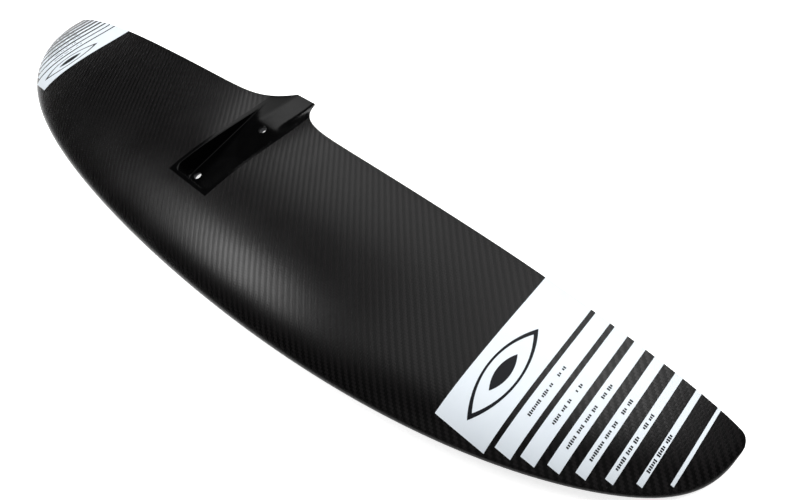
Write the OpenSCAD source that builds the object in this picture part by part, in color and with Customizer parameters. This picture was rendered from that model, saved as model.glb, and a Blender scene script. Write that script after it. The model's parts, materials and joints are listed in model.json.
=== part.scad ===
// Front wing of a hydrofoil: two moulded carbon skins over a foam core and an I-shaped spar,
// with a solid moulded saddle that takes the nose of the fuselage from above.
// Millimetres. The origin is on the seat floor, midway between the front bolts and the rear bolt.
// +X runs along the span to the port tip, +Y points aft, +Z points up along the bolts.

/* [Wing] */
// Span from tip to tip
span = 1060; // [1040:10:1300]
// Chord at the middle, from leading edge to trailing edge
root_chord = 200; // [166:1:250]
// Thickness at the middle
root_thick = 30; // [25:0.5:38]
// Thickness of the section's two edges
edge_thick = 0.8; // [0.6:0.1:1.5]
// Rise of the section's mean line, in percent of the chord
camber_pct = 1.2; // [0:0.1:3]
// How far the tips hang below the middle
tip_droop = 38; // [10:1:60]
// How far the trailing edge bows forward on the way to the tip
bow_forward = 18; // [0:1:30]
// How far it comes back again at the tip
bow_back = 10; // [0:1:20]
// Length of the rounded corner behind each tip
corner_run = 241; // [120:1:300]
// Depth of the rounded corner behind each tip
corner_depth = 16.3; // [5:0.1:25]
// Nose-up angle of the section at the middle, in degrees
incidence = 0.3; // [-1:0.1:2]
// Angle added at the tips, in degrees
tip_twist = 0.6; // [-2:0.1:2]

// Share of the tip's own chord that its rear corner is rounded by
tip_round = 0.7; // [0.3:0.05:0.8]

/* [Seat] */
// Distance between the front bolts and the rear bolt
bolt_gap = 83; // [69:1:100]
// Distance between the two front bolts
bolt_across = 41; // [34:1:44]
// Radius of the bolt holes, a clearance fit for M8
bolt_hole_r = 4.25; // [3.25:0.05:4.5]
// Width of the socket that the fuselage sits in
socket_w = 58.6; // [56:0.2:72]
// From the front bolts to the socket's front wall
socket_lead = 9; // [8:0.5:14]
// Radius of the socket's front corners
socket_r = 7; // [3:0.5:12]
// Width of the smooth border around the socket
saddle_border = 5.4; // [4:0.2:10]
// From the rear bolt back to the wing's trailing edge
edge_setback = 28.8; // [24:0.2:40]
// Height of the trailing edge above the seat floor
edge_rise = 2.6; // [1:0.1:5]

/* [Tab] */
// Width of the tab's rear end
tab_w = 30.5; // [20:0.1:40]
// How far the tab runs past the trailing edge
tab_len = 33.5; // [20:0.1:45]
// How far the tab's end drops below the trailing edge
tab_drop = 15.1; // [4:0.1:20]
// Thickness of the tab's end
tab_thick = 2; // [1.2:0.1:3]
// How fast the tab flares into the trailing edge
tab_flare = 19.5; // [10:0.5:35]

/* [Layers] */
// Thickness of each carbon skin
skin_thick = 1.4; // [1:0.1:2]
// Thickness of each spar cap
cap_thick = 1.2; // [0.8:0.1:2]
// Width of the spar caps along the chord
cap_w = 27; // [18:1:30]
// Thickness of the shear web
web_thick = 3; // [2:0.5:5]
// Height of the bond line where the skins meet
bond_thick = 0.2; // [0.1:0.05:0.4]
// Width of the filler strip inside the trailing edge
edge_strip_w = 14; // [8:1:20]
// Length of the solid block in each tip
tip_block_len = 64; // [50:1:90]

/* [Bolt bushes] */
// Radius of a bush's body
bush_r = 6.2; // [5.6:0.1:7]
// Radius of a bush's flange
flange_r = 9; // [8.6:0.1:10]
// Height of a bush's flange
flange_h = 4.4; // [3.5:0.1:5]
// Radius of the countersink's mouth, for the screw's head
head_r = 8; // [6:0.1:8.4]
// Depth of the bushes' lower faces inside the wing's underside
bush_inset = 0.9; // [0.5:0.1:1.5]
// Laminate left over the top of each bush
bush_cover = 1; // [0.6:0.1:1.4]

/* [Graphics] */
// Distance from the middle to the wide panel
panel_start = 353.2; // [320:1:380]
// Width of the wide panel
panel_w = 43.4; // [30:0.2:50]
// Gap from the wide panel to the first band
panel_gap = 4; // [2:0.5:10]
// Number of bands on each side
band_count = 7; // [3:1:8]
// Distance from one band to the next
band_pitch = 17.2; // [15:0.1:18]
// Width of the first band
band_w = 13; // [12:0.2:16]
// How much narrower each band is than the one before
band_taper = 1.75; // [1:0.05:1.75]
// Distance from the leading edge to the wide panel
film_margin = 11; // [6:0.5:20]
// Distance from the leading edge to the bands
band_margin = 8.5; // [5:0.5:20]
// Thickness of the film
film_thick = 0.15; // [0.1:0.05:0.3]
// Thickness of the mark printed on the wide panel
mark_thick = 0.1; // [0.1:0.05:0.2]

/* [Hidden] */
$fn = 48;
eps = 0.01;
tall = 80; // reach of every cutting shape, more than the wing is thick

// ---- Plan shape. Every size along the span is a function of x.
half = span / 2;
tip_stop = 0.9996; // the outline stops here, so that the tip keeps a short chord
plan_n = 1.995;
plan_m = 0.413;
tip_run = 6.2; // length of the rounding of each tip's rear corner
back_y = bolt_gap / 2 + edge_setback;

function reach(x) = min(abs(x) / half, 1) * tip_stop;
function chord(x) = root_chord * pow(1 - pow(reach(x), plan_n), plan_m);
function quarter(x, run) = let (k = max(0, 1 - (1 - reach(x)) * half / run)) 1 - sqrt(1 - k * k);
function corner(x) =
    corner_depth * quarter(x, corner_run) + tip_round * chord(half) * quarter(x, tip_run);
function bow(x) = bow_back * pow(reach(x), 4) - bow_forward * pow(reach(x), 2);
function rear_y(x) = back_y + bow(x) - corner(x);
function front_y(x) = back_y + bow(x) - chord(x) - corner_depth * pow(reach(x), 13.6);
function depth(x) = rear_y(x) - front_y(x);

// ---- Droop, and the tab that grows out of the trailing edge at the middle.
droop_early = 0.27; // the share of the droop that builds up evenly
function rear_z(x) =
    edge_rise - tip_droop * (droop_early * pow(reach(x), 2) + (1 - droop_early) * pow(reach(x), 4));
function near_tab(x) = exp(-max(0, abs(x) - tab_w / 2) / tab_flare);
function aft_half(s) = let (q = max(0, 2 * s - 1)) q * q * (3 - 2 * q);
function tab(x, s) = near_tab(x) * aft_half(s);

// ---- Section. s runs from 0 at the leading edge to 1 at the trailing edge.
tail_power = 1.3;
fullest = 0.5 / (0.5 + tail_power); // where along the chord the section is thickest
camber_at = 0.35;
tip_thin = 0.2; // how much thinner for its chord the section is at the tip
function bulge(s) = sqrt(s) * pow(1 - s, tail_power) / (sqrt(fullest) * pow(1 - fullest, tail_power));
function half_thick(x, s) =
    edge_thick / 2
    + (root_thick - edge_thick) / 2 * depth(x) / root_chord * (1 - tip_thin * pow(reach(x), 2)) * bulge(s)
    + (tab_thick - edge_thick) / 2 * tab(x, s);
function camber(s) =
    camber_pct / 100 * (s < camber_at
        ? (2 * camber_at * s - s * s) / pow(camber_at, 2)
        : (1 - 2 * camber_at + 2 * camber_at * s - s * s) / pow(1 - camber_at, 2));
function mean_z(x, s) =
    rear_z(x) + (1 - s) * depth(x) * tan(incidence + tip_twist * reach(x))
    + camber(s) * depth(x) - tab_drop * tab(x, s);
function place_y(x, s) = front_y(x) + s * depth(x) + tab_len * tab(x, s);

// ---- Layers, counted from the mean plane: 1 spar cap's inner face, 2 skin's inner face,
// 3 the wing's own skin, 4 film, 5 mark. Negative numbers are the same faces underneath.
function lift(h, face) =
    face == 1 ? max(bond_thick / 2, h - skin_thick - cap_thick) :
    face == 2 ? max(bond_thick / 2, h - skin_thick) :
    face == 3 ? h :
    face == 4 ? h + film_thick : h + film_thick + mark_thick;
function skin_point(x, s, face) =
    [x, place_y(x, s), mean_z(x, s) + sign(face) * lift(half_thick(x, s), abs(face))];

// The chord position that lies over a given y, found by halving.
function position(x, y, low = 0, high = 1, steps = 24) =
    let (middle = (low + high) / 2)
    steps == 0 ? middle :
    place_y(x, middle) < y
        ? position(x, y, middle, high, steps - 1)
        : position(x, y, low, middle, steps - 1);
function underside(x, y) = skin_point(x, position(x, y), -3)[2];

// ---- Stations. All the pieces share them, so that neighbours meet face to face.
saddle_half = socket_w / 2 + saddle_border;
saddle_front = -bolt_gap / 2 - socket_lead - saddle_border;
tip_x = half - tip_block_len;
flare_end = saddle_half + 3 * tab_flare;
half_stations = concat(
    [tab_w / 4, tab_w / 2],
    [for (k = [1:3]) tab_w / 2 + (saddle_half - tab_w / 2) * k / 3],
    [for (k = [1:5]) saddle_half + (flare_end - saddle_half) * pow(k / 5, 1.5)],
    [for (k = [1:8]) flare_end + (tip_x - flare_end) * k / 8],
    [for (k = [1:6]) half - tip_block_len * pow(1 - k / 6, 2)]
);
count = len(half_stations);
x_stations = concat([for (k = [count - 1:-1:0]) -half_stations[k]], [0], half_stations);

saddle_s = (saddle_front - front_y(0)) / depth(0);
spar_gap = 4; // from the spar caps back to the saddle
spar_end = saddle_s - spar_gap / root_chord;
spar_start = spar_end - cap_w / root_chord;
web_middle = (spar_start + spar_end) / 2;
web_start = web_middle - web_thick / root_chord / 2;
web_end = web_middle + web_thick / root_chord / 2;
strip_end = spar_start * 0.15;
edge_strip = 1 - edge_strip_w / root_chord;
s_stations = concat(
    [0, strip_end * 0.1, strip_end * 0.4, strip_end],
    [for (k = [1:3]) strip_end + (spar_start - strip_end) * pow(k / 3, 1.5)],
    [web_start, web_end, spar_end, saddle_s],
    [for (k = [1:6]) saddle_s + (edge_strip - saddle_s) * k / 6],
    [(1 + edge_strip) / 2, 1]
);
function index(list, value) = [for (k = [0:len(list) - 1]) if (abs(list[k] - value) < 1e-6) k][0];

// A closed solid between two faces, from x0 to x1 along the span and s0 to s1 along the chord.
// With notched set, it leaves the saddle's place open.
module layer(x0, x1, s0, s1, top, base, notched = false) {
    i0 = index(x_stations, x0);
    j0 = index(s_stations, s0);
    ni = index(x_stations, x1) - i0;
    nj = index(s_stations, s1) - j0;
    function id(i, j, k) = (k * (ni + 1) + i) * (nj + 1) + j;
    function in_saddle(i, j) =
        abs(x_stations[i0 + i] + x_stations[i0 + i + 1]) / 2 < saddle_half
        && s_stations[j0 + j] > saddle_s - eps / root_chord;
    function solid(i, j) =
        i >= 0 && i < ni && j >= 0 && j < nj && !(notched && in_saddle(i, j));
    function quad(a, b, c, d) = [[a, b, c], [a, c, d]];
    points = [
        for (face = [top, base]) for (i = [0:ni]) for (j = [0:nj])
            skin_point(x_stations[i0 + i], s_stations[j0 + j], face)
    ];
    faces = [
        for (i = [0:ni - 1]) for (j = [0:nj - 1]) if (solid(i, j))
            let (
                a = id(i, j, 0), b = id(i, j + 1, 0), c = id(i + 1, j + 1, 0), d = id(i + 1, j, 0),
                e = id(i, j, 1), f = id(i, j + 1, 1), g = id(i + 1, j + 1, 1), h = id(i + 1, j, 1)
            )
            each concat(
                quad(a, b, c, d),
                [[e, g, f], [e, h, g]],
                solid(i - 1, j) ? [] : quad(b, a, e, f),
                solid(i + 1, j) ? [] : quad(d, c, g, h),
                solid(i, j - 1) ? [] : quad(a, d, h, e),
                solid(i, j + 1) ? [] : quad(c, b, f, g)
            )
    ];
    polyhedron(points, faces, convexity = 8);
}

// ---- Skins
module upper_skin() {
    color("#26262a") layer(-half, half, 0, 1, 3, 2, notched = true);
}

module lower_skin() {
    color("#1e1e22") layer(-half, half, 0, 1, -2, -3, notched = true);
}

// ---- Saddle: a solid laminate through the whole wing, with the socket cut into its top.
bolts = [
    [bolt_across / 2, -bolt_gap / 2],
    [-bolt_across / 2, -bolt_gap / 2],
    [0, bolt_gap / 2]
];
socket_front = -bolt_gap / 2 - socket_lead;
function bush_len(bolt) = -underside(bolt[0], bolt[1]) - bush_inset;

module socket() {
    w = socket_w / 2 - socket_r;
    linear_extrude(tall) union() {
        translate([-socket_w / 2, socket_front + socket_r]) square([socket_w, 2 * root_chord]);
        translate([-w, socket_front]) square([2 * w, 2 * socket_r]);
        for (side = [-1, 1]) translate([side * w, socket_front + socket_r]) circle(socket_r);
    }
}

module bush_pocket(bolt) {
    length = bush_len(bolt);
    translate([bolt[0], bolt[1], 0]) {
        translate([0, 0, -length]) cylinder(r = bolt_hole_r, h = length + 1);
        translate([0, 0, -length]) cylinder(r = bush_r, h = length - bush_cover);
        translate([0, 0, -tall]) cylinder(r = flange_r, h = tall - length + flange_h);
    }
}

module saddle() {
    color("#0f0f11") difference() {
        layer(-saddle_half, saddle_half, saddle_s, 1, 3, -3);
        socket();
        for (bolt = bolts) bush_pocket(bolt);
    }
}

// ---- Bushes: flanged metal sleeves, countersunk from below for the screws.
module bush(bolt) {
    length = bush_len(bolt);
    sink = head_r - bolt_hole_r;
    color("#b9bbbe") translate([bolt[0], bolt[1], 0]) rotate_extrude() polygon([
        [bolt_hole_r, -bush_cover],
        [bush_r, -bush_cover],
        [bush_r, flange_h - length],
        [flange_r, flange_h - length],
        [flange_r, -length],
        [head_r, -length],
        [bolt_hole_r, sink - length]
    ]);
}

module port_front_bush() { bush(bolts[0]); }
module starboard_front_bush() { bush(bolts[1]); }
module rear_bush() { bush(bolts[2]); }

// ---- Spar: a web between two caps, in front of the saddle and out to the tip blocks.
module shear_web() {
    color("#3a3a3c") layer(-tip_x, tip_x, web_start, web_end, 1, -1);
}

module upper_spar_cap() {
    color("#303034") layer(-tip_x, tip_x, spar_start, spar_end, 2, 1);
}

module lower_spar_cap() {
    color("#303034") layer(-tip_x, tip_x, spar_start, spar_end, -1, -2);
}

// ---- Fillers and foam. side is 1 for port and -1 for starboard.
module half_layer(side, inner, outer, s0, s1, top, base, notched = false) {
    if (side > 0) layer(inner, outer, s0, s1, top, base, notched);
    else layer(-outer, -inner, s0, s1, top, base, notched);
}

module leading_edge_strip() {
    color("#4a4a48") layer(-tip_x, tip_x, 0, strip_end, 2, -2);
}

module trailing_edge_strip(side) {
    color("#4a4a48") half_layer(side, saddle_half, tip_x, edge_strip, 1, 2, -2);
}

module nose_core(side) {
    color("#d9c79a") half_layer(side, 0, tip_x, strip_end, spar_start, 2, -2);
}

module spar_core(side) {
    color("#d9c79a") {
        half_layer(side, 0, tip_x, spar_start, web_start, 1, -1);
        half_layer(side, 0, tip_x, web_end, spar_end, 1, -1);
    }
}

module aft_core(side) {
    color("#d9c79a") half_layer(side, 0, tip_x, spar_end, edge_strip, 2, -2, notched = true);
}

module tip_block(side) {
    color("#4a4a48") half_layer(side, tip_x, half, 0, 1, 2, -2);
}

module port_trailing_edge_strip() { trailing_edge_strip(1); }
module starboard_trailing_edge_strip() { trailing_edge_strip(-1); }
module port_nose_core() { nose_core(1); }
module starboard_nose_core() { nose_core(-1); }
module port_spar_core() { spar_core(1); }
module starboard_spar_core() { spar_core(-1); }
module port_aft_core() { aft_core(1); }
module starboard_aft_core() { aft_core(-1); }
module port_tip_block() { tip_block(1); }
module starboard_tip_block() { tip_block(-1); }

// ---- Graphics: thin films on the upper skin, square across their front ends.
panel_end = panel_start + panel_w;
function band_start(k) = panel_end + panel_gap + k * band_pitch;
function band_width(k) = band_w - k * band_taper;

// The upright block that trims one strip of film out of a sheet that covers the tip.
module film_trim(x0, x1, margin) {
    y0 = front_y((x0 + x1) / 2) + margin;
    translate([x0, y0, -tall]) cube([x1 - x0, 2 * root_chord, 2 * tall]);
}

// The part of a face-to-face sheet over one tip that the children cover.
module tip_sheet(side, top, base) {
    inner = half_stations[index_below(half_stations, panel_start)];
    intersection() {
        half_layer(side, inner, half, 0, 1, top, base);
        mirror([side > 0 ? 0 : 1, 0, 0]) children();
    }
}
function index_below(list, value) = len([for (item = list) if (item < value) item]) - 1;

module panel_film(side) {
    color("#e1e8ee") tip_sheet(side, 4, 3) film_trim(panel_start, panel_end, film_margin);
}

module band_films(side) {
    color("#e1e8ee") tip_sheet(side, 4, 3) union() {
        for (k = [0:band_count - 1])
            film_trim(band_start(k), band_start(k) + band_width(k), band_margin);
    }
}

// The mark is a plain outlined leaf, pointed fore and aft, with a smaller solid leaf inside it.
mark_len = 88;
mark_w = 26;
mark_line = 1.8;
mark_core = 0.4; // size of the inner leaf as a share of the outer one
mark_y = -21;
module leaf(length, width) {
    r = (length * length + width * width) / width / 4;
    intersection_for(flip = [-1, 1]) translate([flip * (r - width / 2), 0]) circle(r, $fn = 160);
}
module mark(side) {
    color("#2a2c30") tip_sheet(side, 5, 4)
        translate([panel_start + panel_w / 2, mark_y, -tall]) linear_extrude(2 * tall) {
            difference() {
                leaf(mark_len, mark_w);
                leaf(mark_len - mark_line * mark_len / mark_w * 2, mark_w - 2 * mark_line);
            }
            leaf(mark_len * mark_core, mark_w * mark_core);
        }
}

module port_panel_film() { panel_film(1); }
module starboard_panel_film() { panel_film(-1); }
module port_band_films() { band_films(1); }
module starboard_band_films() { band_films(-1); }
module port_mark() { mark(1); }
module starboard_mark() { mark(-1); }

upper_skin();
lower_skin();
saddle();
leading_edge_strip();
port_trailing_edge_strip();
starboard_trailing_edge_strip();
shear_web();
upper_spar_cap();
lower_spar_cap();
port_nose_core();
starboard_nose_core();
port_spar_core();
starboard_spar_core();
port_aft_core();
starboard_aft_core();
port_tip_block();
starboard_tip_block();
port_front_bush();
starboard_front_bush();
rear_bush();
port_panel_film();
starboard_panel_film();
port_band_films();
starboard_band_films();
port_mark();
starboard_mark();
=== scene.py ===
# %% [markdown]
# # A moulded carbon hydrofoil wing
# The part is the front wing of a hydrofoil. Its shape, sizes and hidden insides come packed as a
# fixed frame. This lesson gives it its looks: fine smooth skins with a twill weave, the glossy
# moulded saddle with its socket, white graphic films, turned bushes, and a plain studio.
# Everything is in metres. +X is the port tip, +Y is aft, +Z is up.

# %% Load the frame
import math

import bmesh
import bpy
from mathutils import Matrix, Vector
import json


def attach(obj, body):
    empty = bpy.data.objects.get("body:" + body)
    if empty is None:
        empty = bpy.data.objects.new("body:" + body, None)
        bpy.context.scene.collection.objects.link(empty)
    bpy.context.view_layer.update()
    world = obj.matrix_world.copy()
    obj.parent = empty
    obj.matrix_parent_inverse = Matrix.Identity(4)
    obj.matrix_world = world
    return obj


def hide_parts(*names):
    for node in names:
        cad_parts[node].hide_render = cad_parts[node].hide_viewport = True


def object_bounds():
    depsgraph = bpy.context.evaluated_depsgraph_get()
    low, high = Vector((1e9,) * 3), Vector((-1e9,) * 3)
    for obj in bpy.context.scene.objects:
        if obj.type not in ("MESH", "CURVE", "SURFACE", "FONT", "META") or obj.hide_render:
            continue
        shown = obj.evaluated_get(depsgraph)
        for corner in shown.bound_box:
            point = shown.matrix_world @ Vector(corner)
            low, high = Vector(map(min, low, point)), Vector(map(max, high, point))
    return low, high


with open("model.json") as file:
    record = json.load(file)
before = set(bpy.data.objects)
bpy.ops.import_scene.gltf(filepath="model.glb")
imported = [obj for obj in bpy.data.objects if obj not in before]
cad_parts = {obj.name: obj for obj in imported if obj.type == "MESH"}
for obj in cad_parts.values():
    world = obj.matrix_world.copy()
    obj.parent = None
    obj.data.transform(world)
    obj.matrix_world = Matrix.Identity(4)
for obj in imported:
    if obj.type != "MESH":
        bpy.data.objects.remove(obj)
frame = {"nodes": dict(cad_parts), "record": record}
cad_low, cad_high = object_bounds()
MM = 0.001
BODY = "root"

# %% [markdown]
# ## Camera
# The camera stands above the port side, close to the wing, so the near tip looms large and the
# far one shrinks. It is rolled a little, which lays the wing along the view's diagonal.

# %% Camera
camera_data = bpy.data.cameras.new("studio_camera")
camera_data.sensor_width = 36
camera_data.lens = 24.75
camera_data.shift_x = -0.035
camera_data.clip_start = 0.01
camera_data.clip_end = 50
camera = bpy.data.objects.new("studio_camera", camera_data)
bpy.context.collection.objects.link(camera)
camera.location = (0.4859, -0.0877, 0.4025)
camera.rotation_euler = [math.radians(a) for a in (29.655, 13.854, 40.439)]
bpy.context.scene.camera = camera
print("camera at", [round(c, 3) for c in camera.location], "lens", round(camera_data.lens, 2))

# %% [markdown]
# ## The wing's shape as a rule
# A wing is drawn with few numbers: an outline, a droop and a section. The CAD model is built
# from the same rule in coarse steps. Repeating the rule here lets each visible skin be as fine
# as it needs to be, and still lie exactly on the CAD skin.

# %% The outline
BOLT_GAP, BOLT_ACROSS = 83 * MM, 41 * MM
HALF_SPAN = frame["nodes"]["upper_skin"].dimensions.x / 2
CHORD = 200 * MM
BACK_Y = BOLT_GAP / 2 + 28.8 * MM
OUTLINE_POWER, OUTLINE_ROOT, NOSE_POWER = 1.995, 0.413, 13.6
CORNER_RUN, CORNER_DEPTH = 241 * MM, 16.3 * MM
TIP_RUN, TIP_ROUND = 6.2 * MM, 0.7
BOW_OUT, BOW_IN = 10, 18
SHORT_OF_TIP = 0.9996


def reach(x):
    """How far out x is: 0 in the middle, and just under 1 at the tip."""
    return min(abs(x) / HALF_SPAN, 1) * SHORT_OF_TIP


def chord(x):
    return CHORD * (1 - reach(x) ** OUTLINE_POWER) ** OUTLINE_ROOT


def quarter(x, run):
    """A quarter circle that starts at run before the tip and has turned fully at the tip."""
    k = max(0, 1 - (1 - reach(x)) * HALF_SPAN / run)
    return 1 - math.sqrt(1 - k * k)


def corner(x):
    tip_corner = TIP_ROUND * chord(HALF_SPAN) * quarter(x, TIP_RUN)
    return CORNER_DEPTH * quarter(x, CORNER_RUN) + tip_corner


def bow(x):
    return (BOW_OUT * reach(x) ** 4 - BOW_IN * reach(x) ** 2) * MM


def rear_y(x):
    return BACK_Y + bow(x) - corner(x)


def front_y(x):
    return BACK_Y + bow(x) - chord(x) - CORNER_DEPTH * reach(x) ** NOSE_POWER


def depth(x):
    return rear_y(x) - front_y(x)


print("half span", round(HALF_SPAN, 4), "root chord", round(depth(0), 4))

# %% [markdown]
# The section is a curved mean line with half the thickness on each side of it. It is fullest a
# little more than a quarter of the way back. Behind the middle of the wing, the same surface is
# drawn out and down into the tab.

# %% The section
THICK, EDGE = 30 * MM, 0.8 * MM
SHARPEST, EDGE_RUN, TIP_THINNING = 0.05 * MM, 0.01, 0.2
TAB_W, TAB_LEN, TAB_DROP = 30.5 * MM, 33.5 * MM, 15.1 * MM
TAB_THICK, TAB_FLARE = 2 * MM, 19.5 * MM
TAIL_POWER = 1.3
FULLEST = 0.5 / (0.5 + TAIL_POWER)
CAMBER, CAMBER_AT = 0.012, 0.35


def tab(x, s):
    q = max(0, 2 * s - 1)
    near = math.exp(-max(0, abs(x) - TAB_W / 2) / TAB_FLARE)
    return near * q * q * (3 - 2 * q)


def bulge(s):
    return s**0.5 * (1 - s) ** TAIL_POWER / (FULLEST**0.5 * (1 - FULLEST) ** TAIL_POWER)


def half_thick(x, s):
    edge = max(SHARPEST, EDGE / 2 * min(1, math.sqrt(s / EDGE_RUN)))
    fullness = (THICK - EDGE) / 2 * depth(x) / CHORD * (1 - TIP_THINNING * reach(x) ** 2)
    return edge + fullness * bulge(s) + (TAB_THICK - EDGE) / 2 * tab(x, s)


def camber(s):
    if s < CAMBER_AT:
        return CAMBER * (2 * CAMBER_AT * s - s * s) / CAMBER_AT**2
    return CAMBER * (1 - 2 * CAMBER_AT + 2 * CAMBER_AT * s - s * s) / (1 - CAMBER_AT) ** 2


print("fullest at", round(FULLEST, 3), "root thickness", round(2 * half_thick(0, FULLEST), 4))

# %% Points on the wing
REAR_RISE, DROOP, DROOP_MIX = 2.6 * MM, 38 * MM, (0.27, 0.73)
NOSE_UP_ROOT, NOSE_UP_MORE = 0.3, 0.6
HALVINGS = 22


def mean_z(x, s):
    a = reach(x)
    rear_z = REAR_RISE - DROOP * (DROOP_MIX[0] * a**2 + DROOP_MIX[1] * a**4)
    nose_up = math.tan(math.radians(NOSE_UP_ROOT + NOSE_UP_MORE * a))
    return rear_z + (1 - s) * depth(x) * nose_up + camber(s) * depth(x) - TAB_DROP * tab(x, s)


def on_wing(x, s, side=1, lift=0.0):
    """A point on the top (side 1) or the underside (side -1), at chord position s."""
    y = front_y(x) + s * depth(x) + TAB_LEN * tab(x, s)
    return Vector((x, y, mean_z(x, s) + side * (half_thick(x, s) + lift)))


def chord_position(x, y):
    """The s that lies over y, found by halving."""
    low, high = 0.0, 1.0
    for _ in range(HALVINGS):
        s = (low + high) / 2
        if front_y(x) + s * depth(x) + TAB_LEN * tab(x, s) < y:
            low = s
        else:
            high = s
    return (low + high) / 2


def skin_z(x, y, side=1):
    return on_wing(x, chord_position(x, y), side).z


print("tip height", round(on_wing(HALF_SPAN, 1).z, 4), "tab end y", round(on_wing(0, 1).y, 4))

# %% [markdown]
# ## Helpers for sheets
# Most of this object is thin sheets on one smooth form. A grid from `create_grid` has its two
# directions as numbers from 0 to 1, and a small rule moves each vertex to its place.

# %% Sheet helpers
def grid_into(bm, nu, nv, place, drop=None):
    """Adds a grid of nu by nv cells to bm, with each vertex at place(u, v)."""
    made = bmesh.ops.create_grid(bm, x_segments=nu, y_segments=nv, size=1)["verts"]
    at = {v: ((v.co.x + 1) / 2, (v.co.y + 1) / 2) for v in made}
    if drop:
        faces = {f for v in made for f in v.link_faces}
        doomed = [f for f in faces if drop(*(sum(at[v][k] for v in f.verts) / 4 for k in (0, 1)))]
        bmesh.ops.delete(bm, geom=doomed, context="FACES")
        made = [v for v in made if v.is_valid]
    for v in made:
        v.co = place(*at[v])
    return made


def shade_smooth(mesh, angle):
    """Shades a mesh smooth, with sharp edges where its faces turn by more than angle degrees."""
    mesh.polygons.foreach_set("use_smooth", [True] * len(mesh.polygons))
    mesh.set_sharp_from_angle(angle=math.radians(angle))


def face_up(bm):
    """Turns every face of a nearly flat sheet so that it looks up."""
    bmesh.ops.recalc_face_normals(bm, faces=bm.faces)
    for f in bm.faces:
        if f.normal.z < 0:
            f.normal_flip()


def piece_from(bm, name, material, node=None, smooth_angle=35, wall=0.0):
    """Makes an object of bm that rides the wing, and may stand for a CAD node.

    With a wall, bm is a sheet that gets this thickness on its inner side.
    """
    if wall:
        bmesh.ops.solidify(bm, geom=bm.faces[:], thickness=wall)
    mesh = bpy.data.meshes.new(name)
    bm.to_mesh(mesh)
    bm.free()
    shade_smooth(mesh, smooth_angle)
    piece = bpy.data.objects.new(name, mesh)
    bpy.context.collection.objects.link(piece)
    mesh.materials.append(material)
    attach(piece, BODY)
    if node:
        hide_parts(node)
    print(name, len(mesh.polygons), "faces")
    return piece


# %% [markdown]
# ## Shared effects
# Two effects are used by more than one finish, so each is a node group: a 2/2 twill weave, where
# each bundle of fibres passes over two and under two, and a soft mottle that keeps a lacquered
# surface from looking like one even number.

# %% Node group helpers
def group_socket(tree, name, into, value=None):
    socket = tree.interface.new_socket(name=name, in_out=into, socket_type="NodeSocketFloat")
    if value is not None:
        socket.default_value = value


class Maker:
    """Adds nodes to a tree and wires them, so that a material reads from top to bottom."""

    def __init__(self, tree):
        self.tree = tree

    def add(self, kind, inputs=None, **settings):
        made = self.tree.nodes.new(kind)
        for key, value in settings.items():
            setattr(made, key, value)
        for key, value in (inputs or {}).items():
            if isinstance(value, bpy.types.NodeSocket):
                self.tree.links.new(value, made.inputs[key])
            else:
                made.inputs[key].default_value = value
        return made

    def math(self, operation, a, b=0.0):
        return self.add("ShaderNodeMath", {0: a, 1: b}, operation=operation).outputs[0]

    def mix(self, factor, a, b):
        return self.add("ShaderNodeMix", {"Factor": factor, "A": a, "B": b}).outputs["Result"]


# %% The twill weave
TOW, WANDER = 2 * MM, 4 * MM


def make_twill():
    tree = bpy.data.node_groups.new("twill_weave", "ShaderNodeTree")
    group_socket(tree, "Tow width", "INPUT", TOW)
    for name in ("Warp", "Height", "Gap"):
        group_socket(tree, name, "OUTPUT")
    m = Maker(tree)
    inlet = m.add("NodeGroupInput")
    place = m.add("ShaderNodeTexCoord").outputs["Object"]
    wander = m.add("ShaderNodeTexNoise", {"Vector": place, "Scale": 9.0, "Detail": 1.0})
    x, y, _ = m.add("ShaderNodeSeparateXYZ", {"Vector": place}).outputs
    drift = m.math("MULTIPLY", m.math("SUBTRACT", wander.outputs["Fac"], 0.5), WANDER)
    u = m.math("DIVIDE", m.math("ADD", x, drift), inlet.outputs["Tow width"])
    v = m.math("DIVIDE", m.math("SUBTRACT", y, drift), inlet.outputs["Tow width"])
    fu = m.math("FRACT", u)
    fv = m.math("FRACT", v)
    cells = m.math("ADD", m.math("FLOOR", u), m.math("FLOOR", v))
    beat = m.math("FLOORED_MODULO", cells, 4.0)
    warp = m.math("LESS_THAN", beat, 1.5)
    across = m.mix(warp, fv, fu)
    along = m.mix(warp, m.math("ADD", m.math("SUBTRACT", beat, 2.0), fu), m.math("ADD", beat, fv))
    run = m.math("MULTIPLY", along, 0.5)

    def hump(t):
        return m.math("MULTIPLY", m.math("MULTIPLY", t, m.math("SUBTRACT", 1.0, t)), 4.0)

    rounded = m.math("POWER", hump(across), 0.5)
    crown = hump(run)
    height = m.math("ADD", m.math("MULTIPLY", rounded, 0.5), m.math("MULTIPLY", crown, 0.5))
    gap = m.math("SUBTRACT", 1.0, m.math("POWER", hump(across), 0.25))
    m.add("NodeGroupOutput", {"Warp": warp, "Height": height, "Gap": gap})
    return tree


twill = make_twill()
print("twill nodes", len(twill.nodes))

# %% [markdown]
# No lacquered or moulded face is quite even. The mottle is a noise, spread between a low and a
# high value, and it drives roughness or tone at whatever scale a finish needs.

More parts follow.
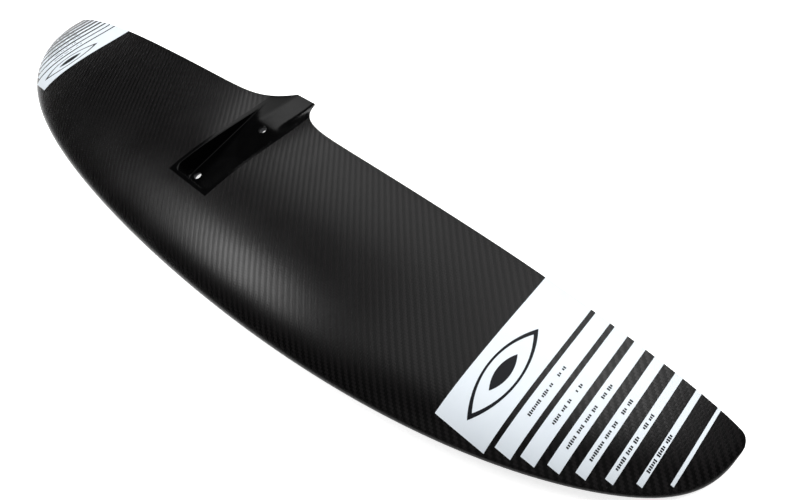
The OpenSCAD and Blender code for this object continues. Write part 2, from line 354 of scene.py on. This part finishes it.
# %% The mottle
def make_mottle():
    tree = bpy.data.node_groups.new("soft_mottle", "ShaderNodeTree")
    group_socket(tree, "Scale", "INPUT", 20.0)
    group_socket(tree, "Low", "INPUT", 0.3)
    group_socket(tree, "High", "INPUT", 0.4)
    group_socket(tree, "Value", "OUTPUT")
    m = Maker(tree)
    inlet = m.add("NodeGroupInput")
    place = m.add("ShaderNodeTexCoord").outputs["Object"]
    noise = m.add(
        "ShaderNodeTexNoise",
        {"Vector": place, "Scale": inlet.outputs["Scale"], "Detail": 5.0, "Roughness": 0.6},
    )
    spread = m.add(
        "ShaderNodeMapRange",
        {
            "Value": noise.outputs["Fac"], "From Min": 0.3, "From Max": 0.7,
            "To Min": inlet.outputs["Low"], "To Max": inlet.outputs["High"],
        },
    )
    m.add("NodeGroupOutput", {"Value": spread.outputs["Result"]})
    return tree


mottle = make_mottle()
print("mottle nodes", len(mottle.nodes))

# %% [markdown]
# ## Finishes
# The carbon is made of dark fibres under satin lacquer. Bundles that run fore and aft and
# bundles that run along the span catch the light differently, which is what shows the diagonal
# ribs of a twill from afar. So the two sets differ in roughness, and one set is painted a lighter
# tone than the other: a painted sheen. This lies over a faint relief, and the smooth lacquer is a
# coat on top of that relief.

# %% Material helper
def new_material(name):
    material = bpy.data.materials.new(name)
    material.use_nodes = True
    shader = material.node_tree.nodes["Principled BSDF"]
    return material, shader, Maker(material.node_tree)


def wire(maker, shader, **links):
    for name, socket in links.items():
        maker.tree.links.new(socket, shader.inputs[name.replace("_", " ")])


def mottled(maker, scale, low, high):
    made = maker.add("ShaderNodeGroup", node_tree=mottle)
    for key, value in (("Scale", scale), ("Low", low), ("High", high)):
        made.inputs[key].default_value = value
    return made.outputs["Value"]


def colour_mix(maker, factor, a, b):
    made = maker.add("ShaderNodeMix", data_type="RGBA")
    for key, value in ((0, factor), (6, a), (7, b)):
        if isinstance(value, bpy.types.NodeSocket):
            maker.tree.links.new(value, made.inputs[key])
        else:
            made.inputs[key].default_value = value
    return made.outputs[2]


def relief(maker, strength, distance, height):
    bump = {"Strength": strength, "Distance": distance, "Height": height}
    return maker.add("ShaderNodeBump", bump).outputs["Normal"]


# %% Carbon skin
def carbon_weave(name):
    material, shader, m = new_material(name)
    weave = m.add("ShaderNodeGroup", {"Tow width": TOW}, node_tree=twill)
    # The two sets of bundles get two tones: a painted sheen that stands in for the light each set
    # catches.
    fibre_and_painted_sheen = colour_mix(
        m, weave.outputs["Warp"], (0.0085, 0.0077, 0.0080, 1), (0.0010, 0.0009, 0.0010, 1)
    )
    tone = mottled(m, 14.0, 0.82, 1.12)
    toned = m.add("ShaderNodeHueSaturation", {"Color": fibre_and_painted_sheen, "Value": tone}).outputs["Color"]
    shade = colour_mix(m, weave.outputs["Gap"], toned, (0.001, 0.001, 0.001, 1))
    duller_warp = m.math("MULTIPLY", weave.outputs["Warp"], 0.10)
    rough = m.math("ADD", mottled(m, 30.0, 0.20, 0.26), duller_warp)
    ribs = relief(m, 0.2, 0.00025, weave.outputs["Height"])
    wire(m, shader, Base_Color=shade, Roughness=rough, Normal=ribs)
    shader.inputs["Specular IOR Level"].default_value = 0.13
    shader.inputs["Coat Weight"].default_value = 0.06
    shader.inputs["Coat Roughness"].default_value = 0.3
    return material


upper_carbon = carbon_weave("carbon_upper")
lower_carbon = carbon_weave("carbon_lower")
print("carbon nodes", len(upper_carbon.node_tree.nodes))

# %% [markdown]
# The saddle has no weave: it comes out of a polished part of the mould, smooth and black, with
# the faint swirl that a mould leaves.

# %% Smooth black laminate
def moulded_black():
    material, shader, m = new_material("moulded_black")
    tone = mottled(m, 60.0, 0.0, 1.0)
    shade = colour_mix(m, tone, (0.0008, 0.0008, 0.0009, 1), (0.0016, 0.0016, 0.0017, 1))
    ripple = relief(m, 0.10, 0.0002, mottled(m, 220.0, 0.0, 1.0))
    wire(m, shader, Base_Color=shade, Roughness=mottled(m, 35.0, 0.13, 0.19), Normal=ripple)
    shader.inputs["Specular IOR Level"].default_value = 0.07
    shader.inputs["Coat Weight"].default_value = 0.02
    shader.inputs["Coat Roughness"].default_value = 0.15
    return material


black_laminate = moulded_black()
print(black_laminate.name, "nodes", len(black_laminate.node_tree.nodes))

# %% [markdown]
# The graphics are printed film laid over the weave, so a trace of the weave's relief shows
# through the white and the ink alike. Both are duller than the lacquer round them.

# %% White film and dark ink
def printed(name, pale, dark, low, high):
    material, shader, m = new_material(name)
    weave = m.add("ShaderNodeGroup", {"Tow width": TOW}, node_tree=twill)
    shade = colour_mix(m, mottled(m, 25.0, 0.0, 1.0), pale, dark)
    trace = relief(m, 0.06, 0.0001, weave.outputs["Height"])
    wire(m, shader, Base_Color=shade, Roughness=mottled(m, 40.0, low, high), Normal=trace)
    return material


white_film = printed("white_film", (0.79, 0.85, 0.90, 1), (0.76, 0.82, 0.88, 1), 0.38, 0.46)
dark_ink = printed("dark_ink", (0.007, 0.008, 0.011, 1), (0.005, 0.006, 0.008, 1), 0.4, 0.5)
dark_ink.node_tree.nodes["Principled BSDF"].inputs["Specular IOR Level"].default_value = 0.12
print("printed finishes", white_film.name, dark_ink.name)

# %% [markdown]
# A turned part keeps the fine rings of the tool that cut it. A wave along the axis gives them,
# both as tone and as shallow grooves, under a very dark colour that is painted shade, which keeps
# the bolt holes dark.

# %% Turned steel, painted dark as shade in the bolt holes
def steel_painted_hole_shade():
    material, shader, m = new_material("steel_painted_hole_shade")
    place = m.add("ShaderNodeTexCoord").outputs["Object"]
    rings = m.add(
        "ShaderNodeTexWave", {"Vector": place, "Scale": 900.0, "Distortion": 1.5},
        bands_direction="Z",
    )
    # The steel's near-black colour is painted shade for the bolt holes; the tool rings only vary
    # it.
    shade = colour_mix(m, rings.outputs["Fac"], (0.030, 0.030, 0.032, 1), (0.055, 0.055, 0.058, 1))
    groove = relief(m, 0.2, 0.00005, rings.outputs["Fac"])
    wire(m, shader, Base_Color=shade, Roughness=mottled(m, 300.0, 0.22, 0.34), Normal=groove)
    shader.inputs["Metallic"].default_value = 1
    return material


steel = steel_painted_hole_shade()
print(steel.name, "nodes", len(steel.node_tree.nodes))

# %% [markdown]
# The pieces inside the skins are never seen on a whole wing, but they show when it is taken
# apart: closed-cell foam, spar laminate with its fibres along the span, and filled resin.

# %% Inner materials
def foam():
    material, shader, m = new_material("closed_cell_foam")
    place = m.add("ShaderNodeTexCoord").outputs["Object"]
    cells = m.add("ShaderNodeTexVoronoi", {"Vector": place, "Scale": 1400.0})
    shade = colour_mix(m, cells.outputs["Distance"], (0.72, 0.62, 0.40, 1), (0.52, 0.43, 0.26, 1))
    pits = relief(m, 0.5, 0.0003, cells.outputs["Distance"])
    wire(m, shader, Base_Color=shade, Roughness=mottled(m, 50.0, 0.8, 0.95), Normal=pits)
    return material


def spar_laminate():
    material, shader, m = new_material("spar_laminate")
    place = m.add("ShaderNodeTexCoord").outputs["Object"]
    stretched = m.add("ShaderNodeMapping", {"Vector": place, "Scale": (6.0, 900.0, 900.0)})
    lines = {"Vector": stretched.outputs[0], "Scale": 1.0, "Detail": 3.0}
    fibres = m.add("ShaderNodeTexNoise", lines)
    shade = colour_mix(m, fibres.outputs["Fac"], (0.012, 0.012, 0.014, 1), (0.045, 0.045, 0.05, 1))
    groove = relief(m, 0.3, 0.0001, fibres.outputs["Fac"])
    wire(m, shader, Base_Color=shade, Roughness=mottled(m, 40.0, 0.4, 0.6), Normal=groove)
    return material


def filled_resin():
    material, shader, m = new_material("filled_resin")
    filler = mottled(m, 400.0, 0.0, 1.0)
    shade = colour_mix(m, filler, (0.02, 0.02, 0.02, 1), (0.06, 0.06, 0.058, 1))
    grain = relief(m, 0.3, 0.0001, mottled(m, 700.0, 0.0, 1.0))
    wire(m, shader, Base_Color=shade, Roughness=mottled(m, 60.0, 0.45, 0.6), Normal=grain)
    return material


inner_finish = {
    "foam_core": foam(), "spar_laminate": spar_laminate(), "filler_resin": filled_resin(),
}
for part in frame["record"]["subparts"]:
    if part["material_slot"] in inner_finish:
        mesh = frame["nodes"][part["node"]].data
        mesh.materials.clear()
        mesh.materials.append(inner_finish[part["material_slot"]])
        print(part["node"], "gets", mesh.materials[0].name)

# %% [markdown]
# ## Skins
# Each skin is one sheet with a thin wall. Its grid lines crowd towards the leading edge, where
# the surface turns fastest, and towards the tips. Two grid lines run exactly along the saddle's
# sides, and the faces between them behind the saddle's front edge are taken out.

# %% Upper and lower skin
SADDLE_BORDER = 5.4 * MM
SOCKET_HALF, SOCKET_R = 29.3 * MM, 7 * MM
SOCKET_FRONT = -BOLT_GAP / 2 - 9 * MM
SADDLE_HALF = SOCKET_HALF + SADDLE_BORDER
SADDLE_S = (SOCKET_FRONT - SADDLE_BORDER - front_y(0)) / depth(0)
OUTER_CELLS, MIDDLE_CELLS = 170, 24
NOSE_CELLS, TAIL_CELLS = 34, 40
SPAN_CELLS = 2 * OUTER_CELLS + MIDDLE_CELLS
CHORD_CELLS = NOSE_CELLS + TAIL_CELLS
CROWDING, SKIN_WALL = 0.55, 0.35 * MM


def span_place(u):
    cell = u * SPAN_CELLS - SPAN_CELLS / 2
    if abs(cell) <= MIDDLE_CELLS / 2:
        return SADDLE_HALF * cell / (MIDDLE_CELLS / 2)
    t = (abs(cell) - MIDDLE_CELLS / 2) / OUTER_CELLS
    eased = t + CROWDING * t * (1 - t)
    return math.copysign(SADDLE_HALF + (HALF_SPAN - SADDLE_HALF) * eased, cell)


def chord_place(v):
    cell = v * CHORD_CELLS
    if cell <= NOSE_CELLS:
        return SADDLE_S * (cell / NOSE_CELLS) ** 2
    return SADDLE_S + (1 - SADDLE_S) * (cell - NOSE_CELLS) / TAIL_CELLS


def under_saddle(u, v):
    return abs(u - 0.5) * SPAN_CELLS < MIDDLE_CELLS / 2 and v * CHORD_CELLS > NOSE_CELLS


def make_skin(name, side, material):
    bm = bmesh.new()
    grid_into(
        bm, SPAN_CELLS, CHORD_CELLS,
        lambda u, v: on_wing(span_place(u), chord_place(v), side), drop=under_saddle,
    )
    if side < 0:
        bmesh.ops.reverse_faces(bm, faces=bm.faces)
    node = name.replace("_sheet", "")
    piece_from(bm, name, material, node=node, wall=SKIN_WALL)


make_skin("upper_skin_sheet", 1, upper_carbon)
make_skin("lower_skin_sheet", -1, lower_carbon)

# %% [markdown]
# ## Saddle
# The saddle is one closed form. Its top is a grid whose first direction runs round the socket
# and whose second direction goes outwards: from the middle of the floor, up the wall with a
# fillet at its foot and a rounded rim, and across the border to the carbon. Extruding that
# sheet and laying the new faces on the wing's underside closes it. The bolt holes come last,
# cut with spun profiles.

# %% Saddle: the plan
SIDE_CELLS, CORNER_CELLS, FRONT_CELLS = 48, 8, 16
ROUND_CELLS = 2 * (SIDE_CELLS + CORNER_CELLS) + FRONT_CELLS
FLOOR_STEPS, FOOT_STEPS, RIM_STEPS, BORDER_STEPS = 9, 5, 5, 5
FOOT, RIM, DRAFT = 1.8 * MM, 1.3 * MM, 0.25 * MM
SPINE_FRONT = SOCKET_FRONT + 24 * MM


def tail_y(x):
    return on_wing(x, 1).y


def lerp(a, b, t):
    return a + (b - a) * t


def ring(u, out):
    """The plan point at distance out from the socket's wall, and its side of the centre line."""
    cell = u * ROUND_CELLS
    side = 1 if cell <= ROUND_CELLS / 2 else -1
    cell = min(cell, ROUND_CELLS - cell)
    turn_x, turn_y = SOCKET_HALF - SOCKET_R, SOCKET_FRONT + SOCKET_R
    if cell <= SIDE_CELLS:
        x = SOCKET_HALF + out
        return side * x, lerp(tail_y(x), turn_y, cell / SIDE_CELLS)
    cell -= SIDE_CELLS
    if cell <= CORNER_CELLS:
        angle = -math.pi / 2 * cell / CORNER_CELLS
        far = SOCKET_R + out
        return side * (turn_x + far * math.cos(angle)), turn_y + far * math.sin(angle)
    t = (cell - CORNER_CELLS) / (FRONT_CELLS / 2)
    return side * turn_x * (1 - t), SOCKET_FRONT - out


def spine(u):
    cell = min(u, 1 - u) * ROUND_CELLS
    return 0.0, lerp(tail_y(0), SPINE_FRONT, min(1, cell / SIDE_CELLS))


def outer_edge(u):
    """The saddle's edge: straight sides, and a square front that follows the skin's edge."""
    x, y = ring(u, SADDLE_BORDER)
    cell = min(u, 1 - u) * ROUND_CELLS - SIDE_CELLS
    if 0 < cell < CORNER_CELLS:
        turn_x, turn_y = SOCKET_HALF - SOCKET_R, SOCKET_FRONT + SOCKET_R
        angle = math.pi / 2 * cell / CORNER_CELLS
        far = (SOCKET_R + SADDLE_BORDER) / max(math.cos(angle), math.sin(angle))
        x = math.copysign(turn_x + far * math.cos(angle), x)
        y = turn_y - far * math.sin(angle)
    if cell >= CORNER_CELLS / 2:
        y = on_wing(x, SADDLE_S).y
    return x, y


print("socket", round(2 * SOCKET_HALF, 4), "wide, saddle", round(2 * SADDLE_HALF, 4), "wide")

# %% [markdown]
# Each step outwards has its own height. The floor is flat and melts into the tab, the wall
# stands on a fillet, the rim is rounded over, and the border lies on the wing's surface. Where
# the wall runs out towards the tail, the fillet and the rim shrink with it.

# %% Saddle: heights
SOFT = 0.7 * MM
TAB_STEPS = 4
WALL_SHARE = 0.45


def floor_z(x, y):
    """The flat seat, which runs out into the falling surface of the tab without a crease."""
    return -SOFT * math.log(1 + math.exp(min(40, -skin_z(x, y) / SOFT)))


def floor_share(step):
    """How far out a floor step lies, with one step exactly at the tab's edge."""
    edge = TAB_W / 2 / (SOCKET_HALF - FOOT)
    if step <= TAB_STEPS:
        return edge * step / TAB_STEPS
    return lerp(edge, 1, (step - TAB_STEPS) / (FLOOR_STEPS - 1 - TAB_STEPS))


def saddle_top(u, step):
    wall_x, wall_y = ring(u, 0)
    foot_z = floor_z(wall_x, wall_y)
    wall_h = max(0, skin_z(wall_x, wall_y) - foot_z)
    foot_h, rim_h = min(FOOT, WALL_SHARE * wall_h), min(RIM, WALL_SHARE * wall_h)
    if step <= FLOOR_STEPS - 1:
        t = floor_share(step)
        (ax, ay), (bx, by) = spine(u), ring(u, -FOOT)
        x = lerp(ax, bx, t)
        cell = min(u, 1 - u) * ROUND_CELLS
        if cell <= SIDE_CELLS:
            front = lerp(SPINE_FRONT, SOCKET_FRONT + SOCKET_R, t)
            y = lerp(tail_y(x), front, cell / SIDE_CELLS)
        else:
            y = lerp(ay, by, t)
        return x, y, floor_z(x, y)
    step -= FLOOR_STEPS - 1
    if step <= FOOT_STEPS:
        angle = math.pi / 2 * step / FOOT_STEPS
        x, y = ring(u, FOOT * (math.sin(angle) - 1))
        return x, y, floor_z(x, y) + foot_h * (1 - math.cos(angle))
    step -= FOOT_STEPS + 1
    if step <= RIM_STEPS:
        angle = math.pi / 2 * step / RIM_STEPS
        x, y = ring(u, DRAFT + RIM * (1 - math.cos(angle)))
        return x, y, skin_z(x, y) - rim_h * (1 - math.sin(angle))
    t = (step - RIM_STEPS) / BORDER_STEPS
    (ax, ay), (bx, by) = ring(u, DRAFT + RIM), outer_edge(u)
    x, y = lerp(ax, bx, t), lerp(ay, by, t)
    return x, y, skin_z(x, y)


OUT_STEPS = FLOOR_STEPS - 1 + FOOT_STEPS + 1 + RIM_STEPS + BORDER_STEPS


def saddle_under(u, step):
    if step < FLOOR_STEPS:
        x, y, _ = saddle_top(u, step)
    else:
        (ax, ay), (bx, by) = ring(u, -FOOT), outer_edge(u)
        t = (step - FLOOR_STEPS + 1) / (OUT_STEPS - FLOOR_STEPS + 1)
        x, y = lerp(ax, bx, t), lerp(ay, by, t)
    return x, y, skin_z(x, y, -1)


print("saddle grid", ROUND_CELLS, "by", OUT_STEPS)

# %% [markdown]
# A drilled hole with steps is the same shape as a turned part, so both are spun from a profile:
# points of radius and height, joined in a loop and turned once round the bolt's axis.

# %% Spun profiles for the bolt holes
BOLTS = [
    (BOLT_ACROSS / 2, -BOLT_GAP / 2),
    (-BOLT_ACROSS / 2, -BOLT_GAP / 2),
    (0, BOLT_GAP / 2),
]
HOLE_R, BUSH_R, FLANGE_R, HEAD_R = 4.25 * MM, 6.2 * MM, 9 * MM, 8 * MM
FLANGE_H, BUSH_COVER, BUSH_INSET = 4.4 * MM, 1 * MM, 0.9 * MM
SPIN_STEPS, ABOVE, BELOW = 64, 2 * MM, 6 * MM


def bush_bottom(x, y):
    return skin_z(x, y, -1) + BUSH_INSET


def spun(profile, x, y):
    """Turns a profile of (radius, height) points round the upright line through x, y."""
    bm = bmesh.new()
    verts = [bm.verts.new((x + r, y, z)) for r, z in profile]
    edges = [bm.edges.new(pair) for pair in zip(verts, verts[1:] + verts[:1])]
    bmesh.ops.spin(
        bm, geom=verts + edges, cent=(x, y, 0), axis=(0, 0, 1), angle=math.tau, steps=SPIN_STEPS,
        use_merge=True,
    )
    bmesh.ops.remove_doubles(bm, verts=bm.verts, dist=1e-7)
    flat = [f for f in bm.faces if f.calc_area() < 1e-14]
    bmesh.ops.delete(bm, geom=flat, context="FACES")
    bmesh.ops.recalc_face_normals(bm, faces=bm.faces)
    return bm


def hole_profile(x, y):
    low = bush_bottom(x, y)
    gap = 0.03 * MM
    return [
        (0, ABOVE), (HOLE_R + 0.4 * MM, ABOVE), (HOLE_R + 0.4 * MM, 0.01 * MM),
        (HOLE_R, -0.35 * MM), (HOLE_R, -BUSH_COVER), (BUSH_R + gap, -BUSH_COVER),
        (BUSH_R + gap, low + FLANGE_H + gap), (FLANGE_R + gap, low + FLANGE_H + gap),
        (FLANGE_R + gap, low - 0.4 * MM), (FLANGE_R + 2 * MM, low - BELOW), (0, low - BELOW),
    ]


print("bushes end at heights", [round(bush_bottom(*bolt), 4) for bolt in BOLTS])


# %% Saddle: build and drill
SADDLE_SMOOTH = 50


def make_saddle():
    bm = bmesh.new()
    around = bm.verts.layers.float.new("around")
    outward = bm.verts.layers.float.new("outward")
    made = bmesh.ops.create_grid(bm, x_segments=ROUND_CELLS, y_segments=OUT_STEPS, size=1)
    for v in made["verts"]:
        v[around] = (v.co.x + 1) / 2
        v[outward] = round((v.co.y + 1) / 2 * OUT_STEPS)
        v.co = saddle_top(v[around], v[outward])
    bmesh.ops.remove_doubles(bm, verts=bm.verts, dist=1e-6)
    bmesh.ops.recalc_face_normals(bm, faces=bm.faces)
    if sum(f.normal.z * f.calc_area() for f in bm.faces) < 0:
        bmesh.ops.reverse_faces(bm, faces=bm.faces)
    grown = bmesh.ops.extrude_face_region(bm, geom=list(bm.faces), use_keep_orig=True)["geom"]
    for v in grown:
        if isinstance(v, bmesh.types.BMVert):
            v.co = saddle_under(v[around], v[outward])
    bmesh.ops.recalc_face_normals(bm, faces=bm.faces)
    saddle = piece_from(bm, "saddle_form", black_laminate, node="saddle",
                        smooth_angle=SADDLE_SMOOTH)
    cutters = []
    for x, y in BOLTS:
        mesh = bpy.data.meshes.new("cutter")
        cutter_bm = spun(hole_profile(x, y), x, y)
        cutter_bm.to_mesh(mesh)
        cutter_bm.free()
        cutter = bpy.data.objects.new("cutter", mesh)
        bpy.context.collection.objects.link(cutter)
        cut = saddle.modifiers.new("hole", "BOOLEAN")
        cut.operation, cut.solver, cut.object = "DIFFERENCE", "EXACT", cutter
        cutters.append(cutter)
    evaluated = saddle.evaluated_get(bpy.context.evaluated_depsgraph_get())
    drilled = bpy.data.meshes.new_from_object(evaluated)
    saddle.modifiers.clear()
    saddle.data = drilled
    for cutter in cutters:
        bpy.data.objects.remove(cutter)
    shade_smooth(drilled, SADDLE_SMOOTH)
    return saddle


saddle = make_saddle()
print("saddle faces", len(saddle.data.polygons))

# %% [markdown]
# ## Bushes
# Each bolt hole is lined with a flanged steel bush, turned on a lathe, so its profile is spun.
# Small chamfers on every corner catch the light as a real turned edge does.

# %% Bushes
def bush_profile(x, y):
    low = bush_bottom(x, y)
    c = 0.25 * MM
    sink = HEAD_R - HOLE_R
    top = -BUSH_COVER
    return [
        (HOLE_R + c, top), (BUSH_R - c, top), (BUSH_R, top - c), (BUSH_R, low + FLANGE_H),
        (FLANGE_R - c, low + FLANGE_H), (FLANGE_R, low + FLANGE_H - c), (FLANGE_R, low + c),
        (FLANGE_R - c, low), (HEAD_R, low), (HOLE_R, low + sink), (HOLE_R, top - c),
    ]


for bush_name, bolt in zip(("port_front_bush", "starboard_front_bush", "rear_bush"), BOLTS):
    piece_from(
        spun(bush_profile(*bolt), *bolt), bush_name + "_turned", steel, node=bush_name,
        smooth_angle=25,
    )

# %% [markdown]
# ## Graphics
# A wide white panel and seven bands that narrow towards the tip lie on each side of the wing.
# They are thin films, square across their front ends, and they run off the trailing edge. The
# panel carries a plain outlined leaf, and rows of small blocks stand for the printed data.

# %% Film helpers
PANEL_START, PANEL_W = 353.2 * MM, 43.4 * MM
BAND_START, BAND_PITCH, BAND_COUNT = PANEL_START + PANEL_W + 4 * MM, 17.2 * MM, 7
BAND_WIDEST, BAND_NARROWING = 13, 1.75
PANEL_MARGIN, BAND_MARGIN, FILM_THICK = 11 * MM, 8.5 * MM, 0.15 * MM
FILM_CELL, FILM_CELLS_BACK, FILM_WALL = 1.5 * MM, 70, 0.12 * MM
SIDES = ((1, "port"), (-1, "starboard"))


def band_width(k):
    return (BAND_WIDEST - BAND_NARROWING * k) * MM


def on_top(x, y, lift):
    """A point over the upper skin, away from the middle, where s is a plain share of the chord."""
    return on_wing(x, min(1, (y - front_y(x)) / depth(x)), 1, lift)


def strip_into(bm, side, x0, x1, margin):
    y0 = front_y((x0 + x1) / 2) + margin

    def place(u, v):
        x = side * lerp(x0, x1, u if side > 0 else 1 - u)
        return on_top(x, lerp(y0, rear_y(x), v), FILM_THICK)

    grid_into(bm, max(3, round((x1 - x0) / FILM_CELL)), FILM_CELLS_BACK, place)


print("band widths", [round(band_width(k) / MM, 2) for k in range(BAND_COUNT)], "mm")

# %% Panels and bands
for side, hand in SIDES:
    panel = bmesh.new()
    strip_into(panel, side, PANEL_START, PANEL_START + PANEL_W, PANEL_MARGIN)
    piece_from(
        panel, hand + "_panel", white_film, node=hand + "_panel_film",
        wall=FILM_WALL,
    )
    bands = bmesh.new()
    for k in range(BAND_COUNT):
        start = BAND_START + k * BAND_PITCH
        strip_into(bands, side, start, start + band_width(k), BAND_MARGIN)
    piece_from(
        bands, hand + "_bands", white_film, node=hand + "_band_films",
        wall=FILM_WALL,
    )

# %% [markdown]
# The leaf is two arcs. Its outline is a strip that follows each arc, and the smaller leaf in
# it is filled. The arcs' radius follows from the leaf's length and width.

# %% The mark
MARK_LEN, MARK_W, MARK_LINE, MARK_Y, MARK_CORE = 88 * MM, 26 * MM, 1.8 * MM, -21 * MM, 0.4
MARK_LIFT, INK_WALL = FILM_THICK + 0.08 * MM, 0.06 * MM
LEAF_CELLS, CORE_CELLS = (60, 2), (30, 6)


def leaf_half(along, length, width):
    """Half the leaf's width at a distance along from its middle."""
    radius = (length * length + width * width) / width / 4
    return math.sqrt(max(0, radius**2 - along**2)) - (radius - width / 2)


def make_mark(side, hand):
    middle = side * (PANEL_START + PANEL_W / 2)
    inner_len = MARK_LEN - MARK_LINE * MARK_LEN / MARK_W * 2
    bm = bmesh.new()
    for arc in (-1, 1):

        def outline(u, v, arc=arc):
            along = (u - 0.5) * lerp(inner_len, MARK_LEN, v)
            inner = leaf_half((u - 0.5) * inner_len, inner_len, MARK_W - 2 * MARK_LINE)
            outer = leaf_half((u - 0.5) * MARK_LEN, MARK_LEN, MARK_W)
            out = lerp(inner, outer, v)
            return on_top(middle + arc * out, MARK_Y + along, MARK_LIFT)

        grid_into(bm, *LEAF_CELLS, outline)

    def filled(u, v):
        along = (u - 0.5) * MARK_LEN * MARK_CORE
        half = leaf_half(along, MARK_LEN * MARK_CORE, MARK_W * MARK_CORE)
        return on_top(middle + half * (2 * v - 1), MARK_Y + along, MARK_LIFT)

    grid_into(bm, *CORE_CELLS, filled)
    bmesh.ops.remove_doubles(bm, verts=bm.verts, dist=1e-6)
    face_up(bm)
    piece_from(bm, hand + "_leaf", dark_ink, node=hand + "_mark", wall=INK_WALL)


for side, hand in SIDES:
    make_mark(side, hand)

# %% [markdown]
# The printed data is left as blocks: rows of short bars in groups, like a line of text seen
# from too far away to read. Their heights come round in a short cycle.

# %% Printed blocks
BLOCK, BLOCK_GAP, WORD_GAP = 1.2 * MM, 0.62 * MM, 2.2 * MM
ROWS = (
    (0.25, (8, 4, 2), (2, 2)),
    (0.26, (5, 3, 2), (1, 2)),
    (0.15, (6, 4, 4, 3), (3, 3)),
    (0.12, (9, 4, 3), (3, 3)),
    (0.10, (6, 4, 3), (3, 3)),
    (0.13, (6, 5, 4), ()),
)
BLOCK_HEIGHTS = (2.5, 1.8, 1.8, 2.3, 1.8, 2.5)


def word(bm, side, centre, y, letters, turn):
    """Lays one group of blocks from y aft, and returns where the next group starts."""
    for n in range(letters):
        tall = BLOCK_HEIGHTS[(n * 5 + turn) % len(BLOCK_HEIGHTS)] * MM

        def block(u, v, y=y, tall=tall):
            return on_top(side * (centre + (u - 0.5) * tall), y + v * BLOCK, MARK_LIFT)

        grid_into(bm, 1, 1, block)
        y += BLOCK + BLOCK_GAP
    return y + WORD_GAP


def make_print(side, hand):
    bm = bmesh.new()
    for k, (start, words, unit) in enumerate(ROWS):
        centre = BAND_START + k * BAND_PITCH + band_width(k) / 2
        front = front_y(centre) + BAND_MARGIN
        y = front + start * (rear_y(centre) - front)
        for n, letters in enumerate(words):
            y = word(bm, side, centre, y, letters, k + n)
        y += 2 * WORD_GAP
        for n, letters in enumerate(unit):
            y = word(bm, side, centre, y, letters, k + n + 3)
    face_up(bm)
    piece_from(bm, hand + "_print", dark_ink, wall=INK_WALL)


for side, hand in SIDES:
    make_print(side, hand)

# %% [markdown]
# ## Studio
# The floor is pale, and glows a little so that it stays even from end to end.

# %% Floor
FLOOR_SIZE, FLOOR_CELLS, FLOOR_GAP, FLOOR_GLOW = 12, 8, 0.2 * MM, 0.75
FLOOR_Z = cad_low.z - FLOOR_GAP
floor_bm = bmesh.new()
grid_into(
    floor_bm, FLOOR_CELLS, FLOOR_CELLS,
    lambda u, v: Vector(((u - 0.5) * FLOOR_SIZE, (v - 0.5) * FLOOR_SIZE, FLOOR_Z)),
)
floor_mesh = bpy.data.meshes.new("studio_floor")
floor_bm.to_mesh(floor_mesh)
floor_bm.free()
floor = bpy.data.objects.new("studio_floor", floor_mesh)
bpy.context.collection.objects.link(floor)
floor_material, floor_shader, _ = new_material("pale_floor")
floor_shader.inputs["Base Color"].default_value = (0.9, 0.9, 0.9, 1)
floor_shader.inputs["Roughness"].default_value = 0.9
floor_shader.inputs["Emission Color"].default_value = (1, 1, 1, 1)
floor_shader.inputs["Emission Strength"].default_value = FLOOR_GLOW
floor_mesh.materials.append(floor_material)
print("floor at", round(FLOOR_Z, 4))

# %% [markdown]
# Black satin shows only what it reflects, so the room is dim, which keeps the carbon dark. The
# backdrop is pale only where it is looked at directly, and lights nothing.

# %% Room and backdrop
ROOM_LIGHT, BACKDROP_LIGHT = 0.015, 0.9
world = bpy.data.worlds.new("studio")
world.use_nodes = True
sky = Maker(world.node_tree)
dim = world.node_tree.nodes["Background"]
dim.inputs["Color"].default_value = (1, 1, 1, 1)
dim.inputs["Strength"].default_value = ROOM_LIGHT
pale = sky.add("ShaderNodeBackground", {"Color": (1, 1, 1, 1), "Strength": BACKDROP_LIGHT})
seen = sky.add("ShaderNodeLightPath").outputs["Is Camera Ray"]
backdrop = sky.add("ShaderNodeMixShader", {0: seen, 1: dim.outputs[0], 2: pale.outputs[0]})
world.node_tree.links.new(
    backdrop.outputs[0], world.node_tree.nodes["World Output"].inputs["Surface"]
)
bpy.context.scene.world = world
bpy.context.scene.view_settings.view_transform = "Standard"
print("room light", ROOM_LIGHT, "backdrop", BACKDROP_LIGHT)

# %% [markdown]
# Each soft box hangs where one stretch of the wing mirrors it: one for the glow along the nose,
# a long one behind for the trailing edge with a low one under it, a small one overhead, one for
# the port tip and a faint one for the front.

# %% Soft boxes
LIT_POINT = Vector((0.12, 0, 0))


def soft_box(name, azimuth, elevation, distance, size, radiance, roll=0):
    """A soft box seen from the wing at this azimuth and elevation, facing the wing."""
    light = bpy.data.lights.new(name, "AREA")
    light.shape = "RECTANGLE"
    light.size, light.size_y = size
    light.energy = radiance * size[0] * size[1] * math.pi
    box = bpy.data.objects.new(name, light)
    bpy.context.collection.objects.link(box)
    turn, lift = math.radians(azimuth), math.radians(elevation)
    flat = math.cos(lift)
    away = Vector((math.cos(turn) * flat, math.sin(turn) * flat, math.sin(lift)))
    box.location = LIT_POINT + away * distance
    box.rotation_euler = away.to_track_quat("Z", "Y").to_euler()
    box.rotation_euler.rotate_axis("Z", math.radians(roll))
    print(name, "power", round(light.energy, 2))


soft_box("nose_box", -167, 50, 2.4, (0.8, 0.7), 12.5)
soft_box("rear_box", 108, 43, 2.4, (3.8, 1.3), 2.6, roll=-14)
soft_box("top_box", 100, 78, 2.4, (1.5, 1.5), 1.9)
soft_box("low_box", 80, 13, 2.6, (2.6, 0.7), 6.0)
soft_box("fill_box", -45, 42, 2.4, (3.6, 1.8), 0.3)
soft_box("tip_box", 58, 56, 2.4, (0.9, 0.8), 5.5)
